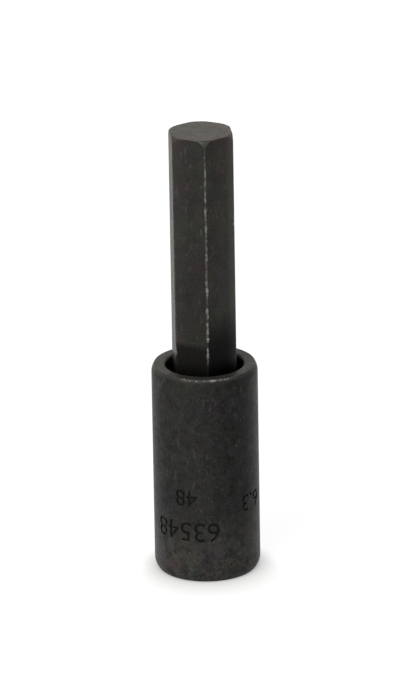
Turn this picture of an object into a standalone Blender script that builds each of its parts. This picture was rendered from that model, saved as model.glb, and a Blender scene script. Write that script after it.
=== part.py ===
"""Hex bit socket: a turned steel barrel, a hex key bit in its mouth and the wire ring that holds the bit.

The barrel stands on its drive end with its foot at the origin, and the bit points up along +Z.
All sizes are in metres.
"""

import math

import bmesh
import bpy
from mathutils import Matrix

# Bit: hex bar, a quarter of an inch across its flats
HEX_ACROSS_FLATS = 0.00635
HEX_EDGE_RADIUS = 0.0002
BIT_PROTRUSION = 0.0254
TIP_CORNER_CUT = 0.0004
TIP_CONE_ANGLE = math.radians(24)
BIT_END_CHAMFER = 0.0003

# Fit of the bit in the barrel
HEX_CLEARANCE = 0.0001
BIT_SEAT_GAP = 0.0001

# Square drive hole, for a quarter-inch drive
DRIVE_SQUARE = 0.00635
DRIVE_CLEARANCE = 0.00005
DRIVE_CORNER_RADIUS = 0.00075
DRIVE_DEPTH = 0.0086
DRIVE_LEAD_IN = 0.0008
DETENT_HEIGHT = 0.004
DETENT_WIDTH = 0.0024
DETENT_DEPTH = 0.0005

# Barrel, from the web between its two holes up to the rim
WEB_THICKNESS = 0.0024
KNOCKOUT_DIAMETER = 0.0045
BROACH_LENGTH = 0.0086
MOUTH_DEPTH = 0.003
MOUTH_CLEARANCE = 0.0004
MOUTH_EDGE_RADIUS = 0.0003
MOUTH_FLOOR_ANGLE = math.radians(30)
BARREL_WALL = 0.0013
RIM_ROUND_RADIUS = 0.0016
RIM_ROUND_INSET = 0.00028
FOOT_ROUND_RADIUS = 0.0016
FOOT_ROUND_INSET = 0.00045

# Retaining ring: spring wire in a groove, biting into the corners of the bit
RING_WIRE_DIAMETER = 0.0008
RING_BITE = 0.0003
RING_CLEARANCE = 0.0001
RING_SEAT_HEIGHT = 0.003
RING_GAP_ANGLE = math.radians(45)

# Fineness of the curves
TURN_STEPS = 72
ARC_STEPS = 5
EDGE_STEPS = 3
RING_STEPS = 48
WIRE_RESOLUTION = 2
SHARP_ANGLE = math.radians(25)
MERGE_DISTANCE = 1e-7

# How far a cutter runs past the face that it opens
OVERRUN = 0.001

# Heights that follow from the sizes
WEB_TOP = DRIVE_DEPTH + WEB_THICKNESS
MOUTH_FLOOR = WEB_TOP + BROACH_LENGTH
BARREL_LENGTH = MOUTH_FLOOR + MOUTH_DEPTH
BIT_BOTTOM = WEB_TOP + BIT_SEAT_GAP
BIT_LENGTH = BARREL_LENGTH + BIT_PROTRUSION - BIT_BOTTOM
RING_HEIGHT = WEB_TOP + RING_SEAT_HEIGHT

# Radii that follow from the sizes
HEX_CORNER = HEX_ACROSS_FLATS / 2 / math.cos(math.pi / 6)
MOUTH_RADIUS = HEX_CORNER + MOUTH_CLEARANCE
DRIVE_HALF = DRIVE_SQUARE / 2 + DRIVE_CLEARANCE
DRIVE_CORNER = DRIVE_HALF * math.sqrt(2) - DRIVE_CORNER_RADIUS * (math.sqrt(2) - 1)
BARREL_RADIUS = max(DRIVE_CORNER, MOUTH_RADIUS) + BARREL_WALL
RING_INNER = HEX_CORNER - RING_BITE
RING_OUTER = RING_INNER + RING_WIRE_DIAMETER
RING_SEAT_WIDTH = RING_WIRE_DIAMETER + 2 * RING_CLEARANCE


def clear_scene():
    """Remove every object of the scene that the script starts in."""
    for obj in list(bpy.data.objects):
        bpy.data.objects.remove(obj, do_unlink=True)


def new_collection(name):
    """Make a collection and link it to the scene."""
    collection = bpy.data.collections.new(name)
    bpy.context.scene.collection.children.link(collection)
    return collection


def new_object(name, data, collection):
    """Make an object from mesh or curve data and put it in a collection."""
    obj = bpy.data.objects.new(name, data)
    collection.objects.link(obj)
    return obj


def steel(name, colour, roughness):
    """A dark steel finish."""
    material = bpy.data.materials.new(name)
    material.use_nodes = True
    shader = material.node_tree.nodes["Principled BSDF"]
    shader.inputs["Base Color"].default_value = (*colour, 1.0)
    shader.inputs["Roughness"].default_value = roughness
    shader.inputs["Metallic"].default_value = 1.0
    return material


def arc(centre, radius, start, end, steps):
    """Points on an arc in the turning plane, as pairs of radius and height."""
    points = []
    for step in range(steps + 1):
        angle = start + (end - start) * step / steps
        points.append((centre[0] + radius * math.cos(angle), centre[1] + radius * math.sin(angle)))
    return points


def turned(name, outline, collection, closed=True):
    """A turned shape: an outline that runs down its outer side, with a Screw modifier."""
    mesh = bpy.data.meshes.new(name)
    edges = [(index, index + 1) for index in range(len(outline) - 1)]
    if closed:
        edges.append((len(outline) - 1, 0))
    mesh.from_pydata([(radius, 0.0, height) for radius, height in outline], edges, [])
    obj = new_object(name, mesh, collection)
    screw = obj.modifiers.new("turn", "SCREW")
    screw.axis = "Z"
    screw.angle = math.tau
    screw.steps = TURN_STEPS
    screw.render_steps = TURN_STEPS
    screw.use_merge_vertices = True
    screw.merge_threshold = MERGE_DISTANCE
    screw.use_normal_calculate = False
    return obj


def bar(name, sides, across_flats, edge_radius, bottom, top, turn, collection):
    """A bar of four or six sides with rounded long edges."""
    shape = bmesh.new()
    corner = across_flats / 2 / math.cos(math.pi / sides)
    middle = (top + bottom) / 2
    bmesh.ops.create_cone(
        shape,
        cap_ends=True,
        segments=sides,
        radius1=corner,
        radius2=corner,
        depth=top - bottom,
        matrix=Matrix.Translation((0, 0, middle)) @ Matrix.Rotation(turn, 4, "Z"),
    )
    long_edges = [
        edge
        for edge in shape.edges
        if min(end.co.z for end in edge.verts) < middle < max(end.co.z for end in edge.verts)
    ]
    bmesh.ops.bevel(
        shape,
        geom=long_edges,
        offset=edge_radius * math.tan(math.pi / sides),
        offset_type="OFFSET",
        segments=EDGE_STEPS,
        profile=0.5,
        affect="EDGES",
        material=-1,
    )
    mesh = bpy.data.meshes.new(name)
    shape.to_mesh(mesh)
    shape.free()
    return new_object(name, mesh, collection)


def boolean(part, tool, operation):
    """Cut a part with a tool, or keep only what lies inside the tool."""
    modifier = part.modifiers.new(tool.name, "BOOLEAN")
    modifier.operation = operation
    modifier.solver = "EXACT"
    modifier.object = tool
    tool.hide_render = True
    tool.display_type = "WIRE"


def settle(part, material):
    """Turn a part's modifiers into mesh, shade it smooth between its sharp edges and give it its finish."""
    evaluated = part.evaluated_get(bpy.context.evaluated_depsgraph_get())
    mesh = bpy.data.meshes.new_from_object(evaluated)
    mesh.name = part.name
    part.modifiers.clear()
    part.data = mesh
    mesh.shade_smooth()
    mesh.set_sharp_from_angle(angle=SHARP_ANGLE)
    mesh.materials.clear()
    mesh.materials.append(material)


def barrel_outline():
    """Section of the turned blank: rounded rim and foot outside, knock-out hole and round mouth inside."""
    rim_angle = math.acos(1 - RIM_ROUND_INSET / RIM_ROUND_RADIUS)
    rim_centre = (
        BARREL_RADIUS - RIM_ROUND_RADIUS,
        BARREL_LENGTH - RIM_ROUND_RADIUS * math.sin(rim_angle),
    )
    foot_angle = math.acos(1 - FOOT_ROUND_INSET / FOOT_ROUND_RADIUS)
    foot_centre = (
        BARREL_RADIUS - FOOT_ROUND_RADIUS,
        FOOT_ROUND_RADIUS * math.sin(foot_angle),
    )
    mouth_edge = (MOUTH_RADIUS + MOUTH_EDGE_RADIUS, BARREL_LENGTH - MOUTH_EDGE_RADIUS)
    hole = KNOCKOUT_DIAMETER / 2
    hole_top = MOUTH_FLOOR - (MOUTH_RADIUS - hole) * math.tan(MOUTH_FLOOR_ANGLE)
    outline = arc(rim_centre, RIM_ROUND_RADIUS, rim_angle, 0, ARC_STEPS)
    outline += arc(foot_centre, FOOT_ROUND_RADIUS, 0, -foot_angle, ARC_STEPS)
    outline += [(hole, 0), (hole, hole_top), (MOUTH_RADIUS, MOUTH_FLOOR)]
    outline += arc(mouth_edge, MOUTH_EDGE_RADIUS, math.pi, math.pi / 2, EDGE_STEPS)
    return outline


def detent_outline():
    """Section of the round-bottomed groove that the detent ball of a drive snaps into."""
    chord = DETENT_WIDTH / 2
    radius = (chord**2 + DETENT_DEPTH**2) / (2 * DETENT_DEPTH)
    centre = (DRIVE_HALF + DETENT_DEPTH - radius, DETENT_HEIGHT)
    reach = math.asin(chord / radius)
    inside = DRIVE_HALF - OVERRUN
    groove = arc(centre, radius, reach, -reach, 2 * ARC_STEPS)
    return groove + [(inside, DETENT_HEIGHT - chord), (inside, DETENT_HEIGHT + chord)]


def lead_in_outline():
    """Section of the cone that opens the square hole at the foot."""
    mouth = DRIVE_HALF + DRIVE_LEAD_IN + OVERRUN
    throat = DRIVE_HALF - DRIVE_LEAD_IN
    return [(0, 2 * DRIVE_LEAD_IN), (throat, 2 * DRIVE_LEAD_IN), (mouth, -OVERRUN), (0, -OVERRUN)]


def groove_outline():
    """Section of the groove in the hex broach, with room for the ring to spread by its bite."""
    outside = RING_OUTER + RING_BITE
    inside = RING_INNER - 2 * RING_BITE
    top = RING_HEIGHT + RING_SEAT_WIDTH / 2
    bottom = RING_HEIGHT - RING_SEAT_WIDTH / 2
    return [(outside, top), (outside, bottom), (inside, bottom), (inside, top)]


def bit_outline():
    """Section that the hex bar is turned to: tip cone, corner notches and end chamfer, upwards from 0."""
    clear = HEX_CORNER + OVERRUN
    tip = HEX_CORNER - TIP_CORNER_CUT
    tip_cone = (clear - tip) / math.tan(TIP_CONE_ANGLE)
    end = HEX_CORNER - BIT_END_CHAMFER
    notch = RING_INNER - RING_CLEARANCE
    notch_middle = RING_HEIGHT - BIT_BOTTOM
    notch_top = notch_middle + RING_SEAT_WIDTH / 2
    notch_bottom = notch_middle - RING_SEAT_WIDTH / 2
    return [
        (0, BIT_LENGTH),
        (tip, BIT_LENGTH),
        (clear, BIT_LENGTH - tip_cone),
        (clear, notch_top),
        (notch, notch_top),
        (notch, notch_bottom),
        (clear, notch_bottom),
        (clear, clear - end),
        (end, 0),
        (0, 0),
    ]


def make_barrel(parts, cutters):
    """The turned blank, broached from both ends and grooved inside."""
    barrel = turned("socket_barrel", barrel_outline(), parts)
    tools = [
        bar(
            "drive_broach",
            4,
            2 * DRIVE_HALF,
            DRIVE_CORNER_RADIUS,
            -OVERRUN,
            DRIVE_DEPTH,
            math.pi / 4,
            cutters,
        ),
        turned("drive_lead_in", lead_in_outline(), cutters, closed=False),
        turned("detent_groove", detent_outline(), cutters),
        bar(
            "hex_broach",
            6,
            HEX_ACROSS_FLATS + 2 * HEX_CLEARANCE,
            HEX_EDGE_RADIUS,
            WEB_TOP,
            BARREL_LENGTH + OVERRUN,
            0,
            cutters,
        ),
        turned("ring_groove", groove_outline(), cutters),
    ]
    for tool in tools:
        boolean(barrel, tool, "DIFFERENCE")
    return barrel


def make_bit(parts, cutters):
    """Hex bar kept only inside its turned section, with its origin at its inner end on the slide axis."""
    bit = bar("hex_bit", 6, HEX_ACROSS_FLATS, HEX_EDGE_RADIUS, -OVERRUN, BIT_LENGTH + OVERRUN, 0, parts)
    envelope = turned("bit_envelope", bit_outline(), cutters, closed=False)
    bit.location.z = BIT_BOTTOM
    envelope.location.z = BIT_BOTTOM
    boolean(bit, envelope, "INTERSECT")
    return bit


def make_ring(parts, material):
    """Round wire bent to a C, open towards a flat of the bit."""
    wire = bpy.data.curves.new("retaining_ring", "CURVE")
    wire.dimensions = "3D"
    wire.bevel_depth = RING_WIRE_DIAMETER / 2
    wire.bevel_resolution = WIRE_RESOLUTION
    wire.use_fill_caps = True
    middle = RING_INNER + RING_WIRE_DIAMETER / 2
    bend = arc((0, 0), middle, RING_GAP_ANGLE / 2, math.tau - RING_GAP_ANGLE / 2, RING_STEPS)
    spline = wire.splines.new("POLY")
    spline.points.add(len(bend) - 1)
    for point, (x, y) in zip(spline.points, bend):
        point.co = (x, y, 0, 1)
    wire.materials.append(material)
    ring = new_object("retaining_ring", wire, parts)
    ring.location.z = RING_HEIGHT
    return ring


def main():
    clear_scene()
    parts = new_collection("hex_bit_socket")
    cutters = new_collection("cutters")
    black_steel = steel("black_steel", (0.035, 0.034, 0.032), 0.5)
    bit_steel = steel("bit_steel", (0.045, 0.043, 0.04), 0.45)
    spring_wire = steel("spring_wire", (0.3, 0.29, 0.27), 0.35)
    root = new_object("hex_bit_socket_root", None, parts)
    barrel = make_barrel(parts, cutters)
    bit = make_bit(parts, cutters)
    ring = make_ring(parts, spring_wire)
    bpy.context.view_layer.update()
    settle(barrel, black_steel)
    settle(bit, bit_steel)
    barrel.parent = root
    ring.parent = barrel
    bit.parent = barrel


main()
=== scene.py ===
# %% [markdown]
# # A hex bit socket in black steel
#
# The object is a small drive tool: a turned barrel with a square hole in its foot, and a hex key bit that
# stands in its mouth. Both are steel with a matt black conversion coat, rubbed bright where they have
# knocked against other tools. This lesson dresses the solid model: it keeps every size and adds what the
# eye looks for, which is soft edges, a mottled coat, wear and stamped numbers. The solid model is loaded
# first and measured, so that the new pieces take their sizes from it.

# %% Load the solid model
import math

import bmesh
import bpy
from mathutils import Matrix, Vector


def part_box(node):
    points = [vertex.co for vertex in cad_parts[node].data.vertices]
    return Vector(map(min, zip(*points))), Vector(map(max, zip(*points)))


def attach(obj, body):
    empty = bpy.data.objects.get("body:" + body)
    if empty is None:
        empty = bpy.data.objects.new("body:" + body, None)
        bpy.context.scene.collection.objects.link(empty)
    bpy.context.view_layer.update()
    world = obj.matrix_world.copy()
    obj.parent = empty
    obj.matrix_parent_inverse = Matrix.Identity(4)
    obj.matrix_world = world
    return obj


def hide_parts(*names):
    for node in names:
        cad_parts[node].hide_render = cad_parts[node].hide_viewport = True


MM = 0.001
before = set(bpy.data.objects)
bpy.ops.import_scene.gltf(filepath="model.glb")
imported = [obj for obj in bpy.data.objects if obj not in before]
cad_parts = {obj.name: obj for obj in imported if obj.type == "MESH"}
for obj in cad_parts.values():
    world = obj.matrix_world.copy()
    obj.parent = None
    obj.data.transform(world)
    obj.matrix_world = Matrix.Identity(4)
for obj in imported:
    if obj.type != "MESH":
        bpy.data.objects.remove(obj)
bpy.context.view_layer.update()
scene = bpy.context.scene
scene.view_settings.view_transform = "Standard"

barrel_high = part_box("socket_barrel")[1]
bit_low, bit_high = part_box("hex_bit")
barrel_radius = barrel_high.x
barrel_top = barrel_high.z
bit_foot = bit_low.z
bit_top = bit_high.z
hex_half = bit_high.x
print(f"barrel {2 * barrel_radius / MM:.2f} mm across, {barrel_top / MM:.2f} mm long")
print(f"bit {2 * hex_half / MM:.2f} mm across its flats, tip at {bit_top / MM:.2f} mm")

# %% [markdown]
# ## Camera
#
# The photograph was taken from a little to the left of the front corner of the hex and about 20 degrees
# above the table. A short lens close by could frame the tool in the same way, but it would splay the
# upright edges, which hardly lean in the photograph. So a long lens stands far away. The picture is turned
# by one degree, and the camera rolls by as much.

# %% Camera
IMAGE_LONG_SIDE = 690
SENSOR = 36
CAMERA_DISTANCE = 0.7
CAMERA_AZIMUTH = math.radians(-6.1)
CAMERA_ELEVATION = math.radians(20.4)
CAMERA_ROLL = math.radians(-0.97)
CAMERA_FOCAL_PIXELS = 6722
CAMERA_RIGHT_PIXELS = 0.2
CAMERA_DROP_PIXELS = 4.7
tool_middle = Vector((0, 0, bit_top / 2))


def add_camera():
    """A long lens aimed at the middle of the tool."""
    data = bpy.data.cameras.new("camera")
    data.sensor_width = SENSOR
    data.lens = CAMERA_FOCAL_PIXELS / IMAGE_LONG_SIDE * SENSOR
    data.shift_x = -CAMERA_RIGHT_PIXELS / IMAGE_LONG_SIDE
    data.shift_y = CAMERA_DROP_PIXELS / IMAGE_LONG_SIDE
    camera = bpy.data.objects.new("camera", data)
    scene.collection.objects.link(camera)
    right = math.sin(CAMERA_AZIMUTH) * math.cos(CAMERA_ELEVATION)
    front = -math.cos(CAMERA_AZIMUTH) * math.cos(CAMERA_ELEVATION)
    towards = Vector((right, front, math.sin(CAMERA_ELEVATION)))
    turn = (-towards).to_track_quat("-Z", "Y").to_matrix().to_4x4()
    roll = Matrix.Rotation(CAMERA_ROLL, 4, "Z")
    camera.matrix_world = Matrix.Translation(tool_middle + towards * CAMERA_DISTANCE) @ turn @ roll
    scene.camera = camera
    return camera


camera = add_camera()
print("camera at", [round(value, 4) for value in camera.location])

# %% [markdown]
# ## Helpers for node trees
#
# The room, the table and the finishes are all node trees. In the Shader Editor each node is added and wired
# by hand, and a script that does the same takes several lines per node. These helpers bring that down to
# one: a node is made, and each of its sockets is given a value or a link.

# %% Node helpers
def add_node(tree, kind, sockets, **settings):
    """A new node. Each socket is given a value or linked to another socket."""
    node = tree.nodes.new(kind)
    for name, value in settings.items():
        setattr(node, name, value)
    for name, value in sockets.items():
        if isinstance(value, bpy.types.NodeSocket):
            tree.links.new(value, node.inputs[name])
        else:
            node.inputs[name].default_value = value
    return node


def maths(tree, operation, *values):
    """The result of a Math node on one, two or three values."""
    return add_node(tree, "ShaderNodeMath", dict(enumerate(values)), operation=operation).outputs[0]


def chain(tree, operation, first, *others):
    """One operation carried through any number of values."""
    for value in others:
        first = maths(tree, operation, first, value)
    return first


def mix_shaders(tree, share, first, second):
    """A blend of two shader nodes."""
    sockets = {0: share, 1: first.outputs[0], 2: second.outputs[0]}
    return add_node(tree, "ShaderNodeMixShader", sockets).outputs[0]


print("helpers", [helper.__name__ for helper in (add_node, maths, chain, mix_shaders)])

# %% [markdown]
# ## White room
#
# The tool stands in a plain white room. A bright world would give that white, but it would also flood a
# small object with light. So the world is white only to rays that see it directly or in a reflection, and
# lights the tool at a plain level. The Light Path node tells the rays apart.

# %% White room
WHITE = (1, 1, 1, 1)
WORLD_COLOUR = (0.955, 1.0, 0.985, 1)
WORLD_LEVEL = 0.30


def seen_directly(tree):
    """A mask that is one for camera, glossy and transmission rays."""
    path = add_node(tree, "ShaderNodeLightPath", {}).outputs
    rays = ("Is Camera Ray", "Is Glossy Ray", "Is Transmission Ray")
    return chain(tree, "MAXIMUM", *[path[ray] for ray in rays])


def add_world():
    """White to look at, plain light on the tool."""
    world = bpy.data.worlds.new("white_room")
    world.use_nodes = True
    tree = world.node_tree
    tree.nodes.clear()
    light = add_node(tree, "ShaderNodeBackground", {"Color": WORLD_COLOUR, "Strength": WORLD_LEVEL})
    white = add_node(tree, "ShaderNodeBackground", {"Color": WHITE, "Strength": 1})
    seen = mix_shaders(tree, seen_directly(tree), light, white)
    add_node(tree, "ShaderNodeOutputWorld", {"Surface": seen})
    scene.world = world
    return world


world = add_world()
print(world.name, "lights the tool at", WORLD_LEVEL)

# %% [markdown]
# ## Table
#
# A small black object on a white table is lit more by the table than by any lamp. To the camera and in
# reflections the table is a plain white glow, and to all other rays it is a pale matt floor, which keeps
# the light on the tool at a plain level. A bright table keeps a shadow only where hardly any light gets in,
# close to the foot. A strong lamp would throw its shadow to one side, so the glow fades with the table's
# ambient occlusion instead. In the photograph the shadow reaches further to the front, as if the room were
# brighter behind the tool, so the reach of the occlusion follows the table's own Y.

# %% Table finish
TABLE_COLOUR = (0.86, 0.86, 0.86, 1)
TABLE_FAINT_COLOUR = (0.2, 0.2, 0.2, 1)
TABLE_GLOW = 0.92
CONTACT_LEAST = 0.2
CONTACT_FRONT = -8.0 * MM
CONTACT_REACH_FRONT = 5.2 * MM
CONTACT_REACH_BACK = 1.9 * MM


def contact_glow(tree):
    """The strength of the table's glow, which fades where little light gets in."""
    place = add_node(tree, "ShaderNodeTexCoord", {}).outputs["Object"]
    along = add_node(tree, "ShaderNodeSeparateXYZ", {0: place}).outputs["Y"]
    front_to_back = {"Value": along, "From Min": CONTACT_FRONT, "From Max": 0}
    reaches = {"To Min": CONTACT_REACH_FRONT, "To Max": CONTACT_REACH_BACK}
    reach = add_node(tree, "ShaderNodeMapRange", {**front_to_back, **reaches}).outputs[0]
    open_sky = add_node(tree, "ShaderNodeAmbientOcclusion", {"Distance": reach}).outputs["AO"]
    strengths = {"Value": open_sky, "To Min": TABLE_GLOW * CONTACT_LEAST, "To Max": TABLE_GLOW}
    return add_node(tree, "ShaderNodeMapRange", strengths).outputs[0]


def table_finish():
    """A glow that only looks white, over a matt floor that takes the shadow."""
    material = bpy.data.materials.new("white_table")
    material.use_nodes = True
    tree = material.node_tree
    tree.nodes.clear()
    floor = add_node(tree, "ShaderNodeBsdfDiffuse", {"Color": TABLE_COLOUR})
    faint = add_node(tree, "ShaderNodeBsdfDiffuse", {"Color": TABLE_FAINT_COLOUR})
    glow = add_node(tree, "ShaderNodeEmission", {"Strength": contact_glow(tree)})
    shown = add_node(tree, "ShaderNodeAddShader", {0: faint.outputs[0], 1: glow.outputs[0]})
    seen = mix_shaders(tree, seen_directly(tree), floor, shown)
    add_node(tree, "ShaderNodeOutputMaterial", {"Surface": seen})
    return material


white_table = table_finish()
print(white_table.name, len(white_table.node_tree.nodes), "nodes")

# %% Table
TABLE_HALF = 1.6


def add_table():
    """A flat table under the foot of the barrel."""
    shape = bmesh.new()
    bmesh.ops.create_grid(shape, x_segments=1, y_segments=1, size=TABLE_HALF)
    mesh = bpy.data.meshes.new("table")
    shape.to_mesh(mesh)
    shape.free()
    mesh.materials.append(white_table)
    table = bpy.data.objects.new("table", mesh)
    scene.collection.objects.link(table)
    return table


table = add_table()
print("table", [round(value, 2) for value in table.dimensions], "m")

# %% [markdown]
# ## Lamps
#
# The light comes from broad soft sources: a window-like one on the left, which makes that side a little
# brighter and warmer, and a faint warm one behind. A sun lamp or a point lamp would draw hard spots on the
# matt coat, so both are large square area lamps that face the middle of the tool.

# %% Lamps
KEY_PLACE = (-0.71, -0.84, 0.70)
KEY_SIZE = 1.0
KEY_POWER = 15
KEY_COLOUR = (1.0, 0.955, 0.885)
BACK_PLACE = (0.15, 0.85, 0.60)
BACK_SIZE = 0.7
BACK_POWER = 0.5
BACK_COLOUR = (1.0, 0.86, 0.66)


def add_lamp(name, place, size, power, colour):
    """A square soft lamp that faces the middle of the tool."""
    data = bpy.data.lights.new(name, "AREA")
    data.shape = "SQUARE"
    data.size = size
    data.energy = power
    data.color = colour
    lamp = bpy.data.objects.new(name, data)
    scene.collection.objects.link(lamp)
    lamp.location = place
    lamp.rotation_euler = (tool_middle - lamp.location).to_track_quat("-Z", "Y").to_euler()
    print(name, "at", place, "with", power, "W")


add_lamp("key_softbox", KEY_PLACE, KEY_SIZE, KEY_POWER, KEY_COLOUR)
add_lamp("back_softbox", BACK_PLACE, BACK_SIZE, BACK_POWER, BACK_COLOUR)

# %% [markdown]
# ## Rings: one way to make both pieces
#
# The barrel and the bit are both stacks of rings round one axis. A ring is a circle, a rounded hexagon or a
# rounded square, at one height. A spun profile would give the round parts and Booleans the rest, but
# Booleans leave long thin faces that shade badly. So both pieces start as one circle of vertices. Extruding
# its edge loop makes the next ring, and each new vertex is then moved straight in or out to the outline
# that the ring should have. The angles never change, so the faces stay tidy quads.

# %% Outlines of rings
def rounded_polygon(sides, across_flats, corner_radius, turn=0.0):
    """A function that gives the radius of a polygon with rounded corners at any angle."""
    half = across_flats / 2
    half_side = math.pi / sides
    centre = (half - corner_radius) / math.cos(half_side)
    along = centre + corner_radius * math.cos(half_side)
    tangent = math.atan2(corner_radius * math.sin(half_side), along)

    def radius(angle):
        swing = abs((angle - turn + half_side) % (2 * half_side) - half_side)
        if swing > tangent:
            return half / math.cos(half_side - swing)
        reach = math.sqrt(corner_radius**2 - (centre * math.sin(swing)) ** 2)
        return centre * math.cos(swing) + reach

    return radius


def circle(radius):
    """A function that gives the same radius at any angle."""
    return lambda angle: radius


def inside(outline, limit):
    """An outline trimmed to a circle."""
    return lambda angle: min(outline(angle), limit)


print(f"a square of 10 reaches {rounded_polygon(4, 10, 0)(0):.2f} at its corner")

# %% Stack of rings
def level(height):
    """A ring that lies flat."""
    return lambda radius: height


def place_ring(verts, outline, height):
    """Move each vertex in or out to an outline, keeping its angle, and set its height."""
    for vert in verts:
        angle = math.atan2(vert.co.y, vert.co.x)
        radius = outline(angle)
        vert.co = (radius * math.cos(angle), radius * math.sin(angle), height(radius))


def ring_stack(angles, rings):
    """A bmesh of rings, each extruded from the one before. A ring is an outline and a height."""
    shape = bmesh.new()
    first = bmesh.ops.create_circle(shape, segments=len(angles), radius=1)["verts"]
    for vert, angle in zip(first, angles):
        vert.co = (math.cos(angle), math.sin(angle), 0)
    place_ring(first, *rings[0])
    loop = list(shape.edges)
    for outline, height in rings[1:]:
        made = bmesh.ops.extrude_edge_only(shape, edges=loop)["geom"]
        verts = {item for item in made if isinstance(item, bmesh.types.BMVert)}
        edges = [item for item in made if isinstance(item, bmesh.types.BMEdge)]
        loop = [edge for edge in edges if verts.issuperset(edge.verts)]
        place_ring(verts, outline, height)
    return shape, loop


print("helpers", [helper.__name__ for helper in (level, place_ring, ring_stack)])

# %% [markdown]
# ## From a bmesh to a piece
#
# A finished piece is one closed mesh at the origin that stands for a node of the solid model and rides on
# that node's body. Rings that fall on the same place are merged, and the normals are worked out afresh. The
# shading is smooth, except where faces meet at a clear angle. Splitting the mesh there would look the same,
# but it would leave the mesh open.

# %% Finished piece
MERGE_DISTANCE = 1e-7
SHARP_ANGLE = math.radians(35)


def finish_piece(name, shape, body, node):
    """Make an object of a bmesh, closed and facing out, that stands for a node of the solid model."""
    bmesh.ops.remove_doubles(shape, verts=shape.verts, dist=MERGE_DISTANCE)
    bmesh.ops.recalc_face_normals(shape, faces=shape.faces)
    mesh = bpy.data.meshes.new(name)
    shape.to_mesh(mesh)
    shape.free()
    mesh.shade_smooth()
    mesh.set_sharp_from_angle(angle=SHARP_ANGLE)
    piece = bpy.data.objects.new(name, mesh)
    scene.collection.objects.link(piece)
    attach(piece, body)
    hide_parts(node)
    print(name, len(mesh.polygons), "faces")
    return piece


print(f"faces that meet at over {math.degrees(SHARP_ANGLE):.0f} degrees keep a sharp edge")

# %% [markdown]
# ## The bit
#
# The bit is cold-drawn hex bar, so its six long edges are slightly round. Its tip is turned to a steep cone
# that only touches the corners, and it looks rounded by use: each corner ends in a small curved facet, and
# the tip face has a soft edge. A bevel would treat the whole edge of the tip alike. So the facets are rings
# too, each of them the hex trimmed to a smaller circle than the ring below. One more ring close under them
# keeps the flats flat, because smooth shading would otherwise run down from the facets. Where the circle
# doesn't reach the hex, rings fall on the same place and are merged.

# %% Hex bar
HEX_SIDES = 6
HEX_TURN = math.pi / 2
HEX_EDGE_RADIUS = 0.2 * MM
CORNER_HALF = math.radians(1.7)
CORNER_STEPS = 6
FLAT_STEPS = 28


def hex_angles():
    """Angles round the hex, close together at its round corners."""
    side = math.tau / HEX_SIDES
    flat = side - 2 * CORNER_HALF
    angles = []
    for corner in range(HEX_SIDES):
        middle = HEX_TURN + side * corner
        for step in range(CORNER_STEPS):
            angles.append(middle - CORNER_HALF + 2 * CORNER_HALF * step / CORNER_STEPS)
        for step in range(FLAT_STEPS):
            angles.append(middle + CORNER_HALF + flat * step / FLAT_STEPS)
    return angles


hex_outline = rounded_polygon(HEX_SIDES, 2 * hex_half, HEX_EDGE_RADIUS, HEX_TURN)
corner_radius = hex_outline(HEX_TURN)
print(f"hex corners {corner_radius / MM:.3f} mm from the axis, {len(hex_angles())} points round")

# %% Rounded tip
TIP_FACE_RADIUS = 3.266 * MM
TIP_CONE_ANGLE = math.radians(24)
TIP_SOFTNESS = 0.05 * MM
TIP_BULGE = 2.2
TIP_SHARES = (1.0, 0.86, 0.72, 0.58, 0.44, 0.28)
tip_width = corner_radius - TIP_FACE_RADIUS
tip_drop = tip_width / math.tan(TIP_CONE_ANGLE)
tip_outline = rounded_polygon(HEX_SIDES, 2 * (hex_half - TIP_SOFTNESS), HEX_EDGE_RADIUS, HEX_TURN)


def tip_round(radius):
    """Height of the rounded facet at a radius, up to where the edge of the tip face turns over."""
    share = max(0, (radius - TIP_FACE_RADIUS) / tip_width)
    return bit_top - max(TIP_SOFTNESS, tip_drop * share**TIP_BULGE)


def under_tip(radius):
    """A height just under the facets, which keeps the flats below them flat."""
    return tip_round(radius) - TIP_SOFTNESS


def tip_rings():
    """The facets of the corners, from their foot up to the tip face."""
    rings = [(hex_outline, under_tip)]
    for share in TIP_SHARES:
        rings.append((inside(hex_outline, TIP_FACE_RADIUS + share * tip_width), tip_round))
    rings.append((inside(hex_outline, TIP_FACE_RADIUS), level(bit_top - TIP_SOFTNESS)))
    rings.append((inside(tip_outline, TIP_FACE_RADIUS - TIP_SOFTNESS), level(bit_top)))
    return rings


print(f"tip facets {tip_width / MM:.2f} mm wide and {tip_drop / MM:.2f} mm high, in {len(tip_rings())} rings")

# %% Bit
END_FACE_RADIUS = 3.366 * MM
NOTCH_RADIUS = 3.266 * MM
NOTCH_LOW = 13.5 * MM
NOTCH_HIGH = 14.5 * MM


def end_cone(radius):
    """Height of the chamfer at the inner end."""
    return bit_foot + max(0, radius - END_FACE_RADIUS)


def make_bit():
    """The hex bit, from its inner end over the notches for the ring up to its tip."""
    rings = [
        (inside(hex_outline, END_FACE_RADIUS), level(bit_foot)),
        (hex_outline, end_cone),
        (hex_outline, level(NOTCH_LOW)),
        (inside(hex_outline, NOTCH_RADIUS), level(NOTCH_LOW)),
        (inside(hex_outline, NOTCH_RADIUS), level(NOTCH_HIGH)),
        (hex_outline, level(NOTCH_HIGH)),
    ]
    shape, tip_edge = ring_stack(hex_angles(), rings + tip_rings())
    bmesh.ops.contextual_create(shape, geom=tip_edge)
    bmesh.ops.holes_fill(shape, edges=shape.edges, sides=0)
    return finish_piece("hex_bit_bar", shape, "bit", "hex_bit")


bit = make_bit()

# %% [markdown]
# ## The barrel
#
# The barrel is turned from round bar, then bored and broached: a round mouth over a hex hole, a web with a
# small hole to knock the bit out, and a square hole in the foot. A lathe profile with Boolean cuts would
# follow the real order of work. Here each feature is a ring or two, so the stack simply goes on over the
# rim and down the inside, and its last ring meets its first one at the foot.

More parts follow.
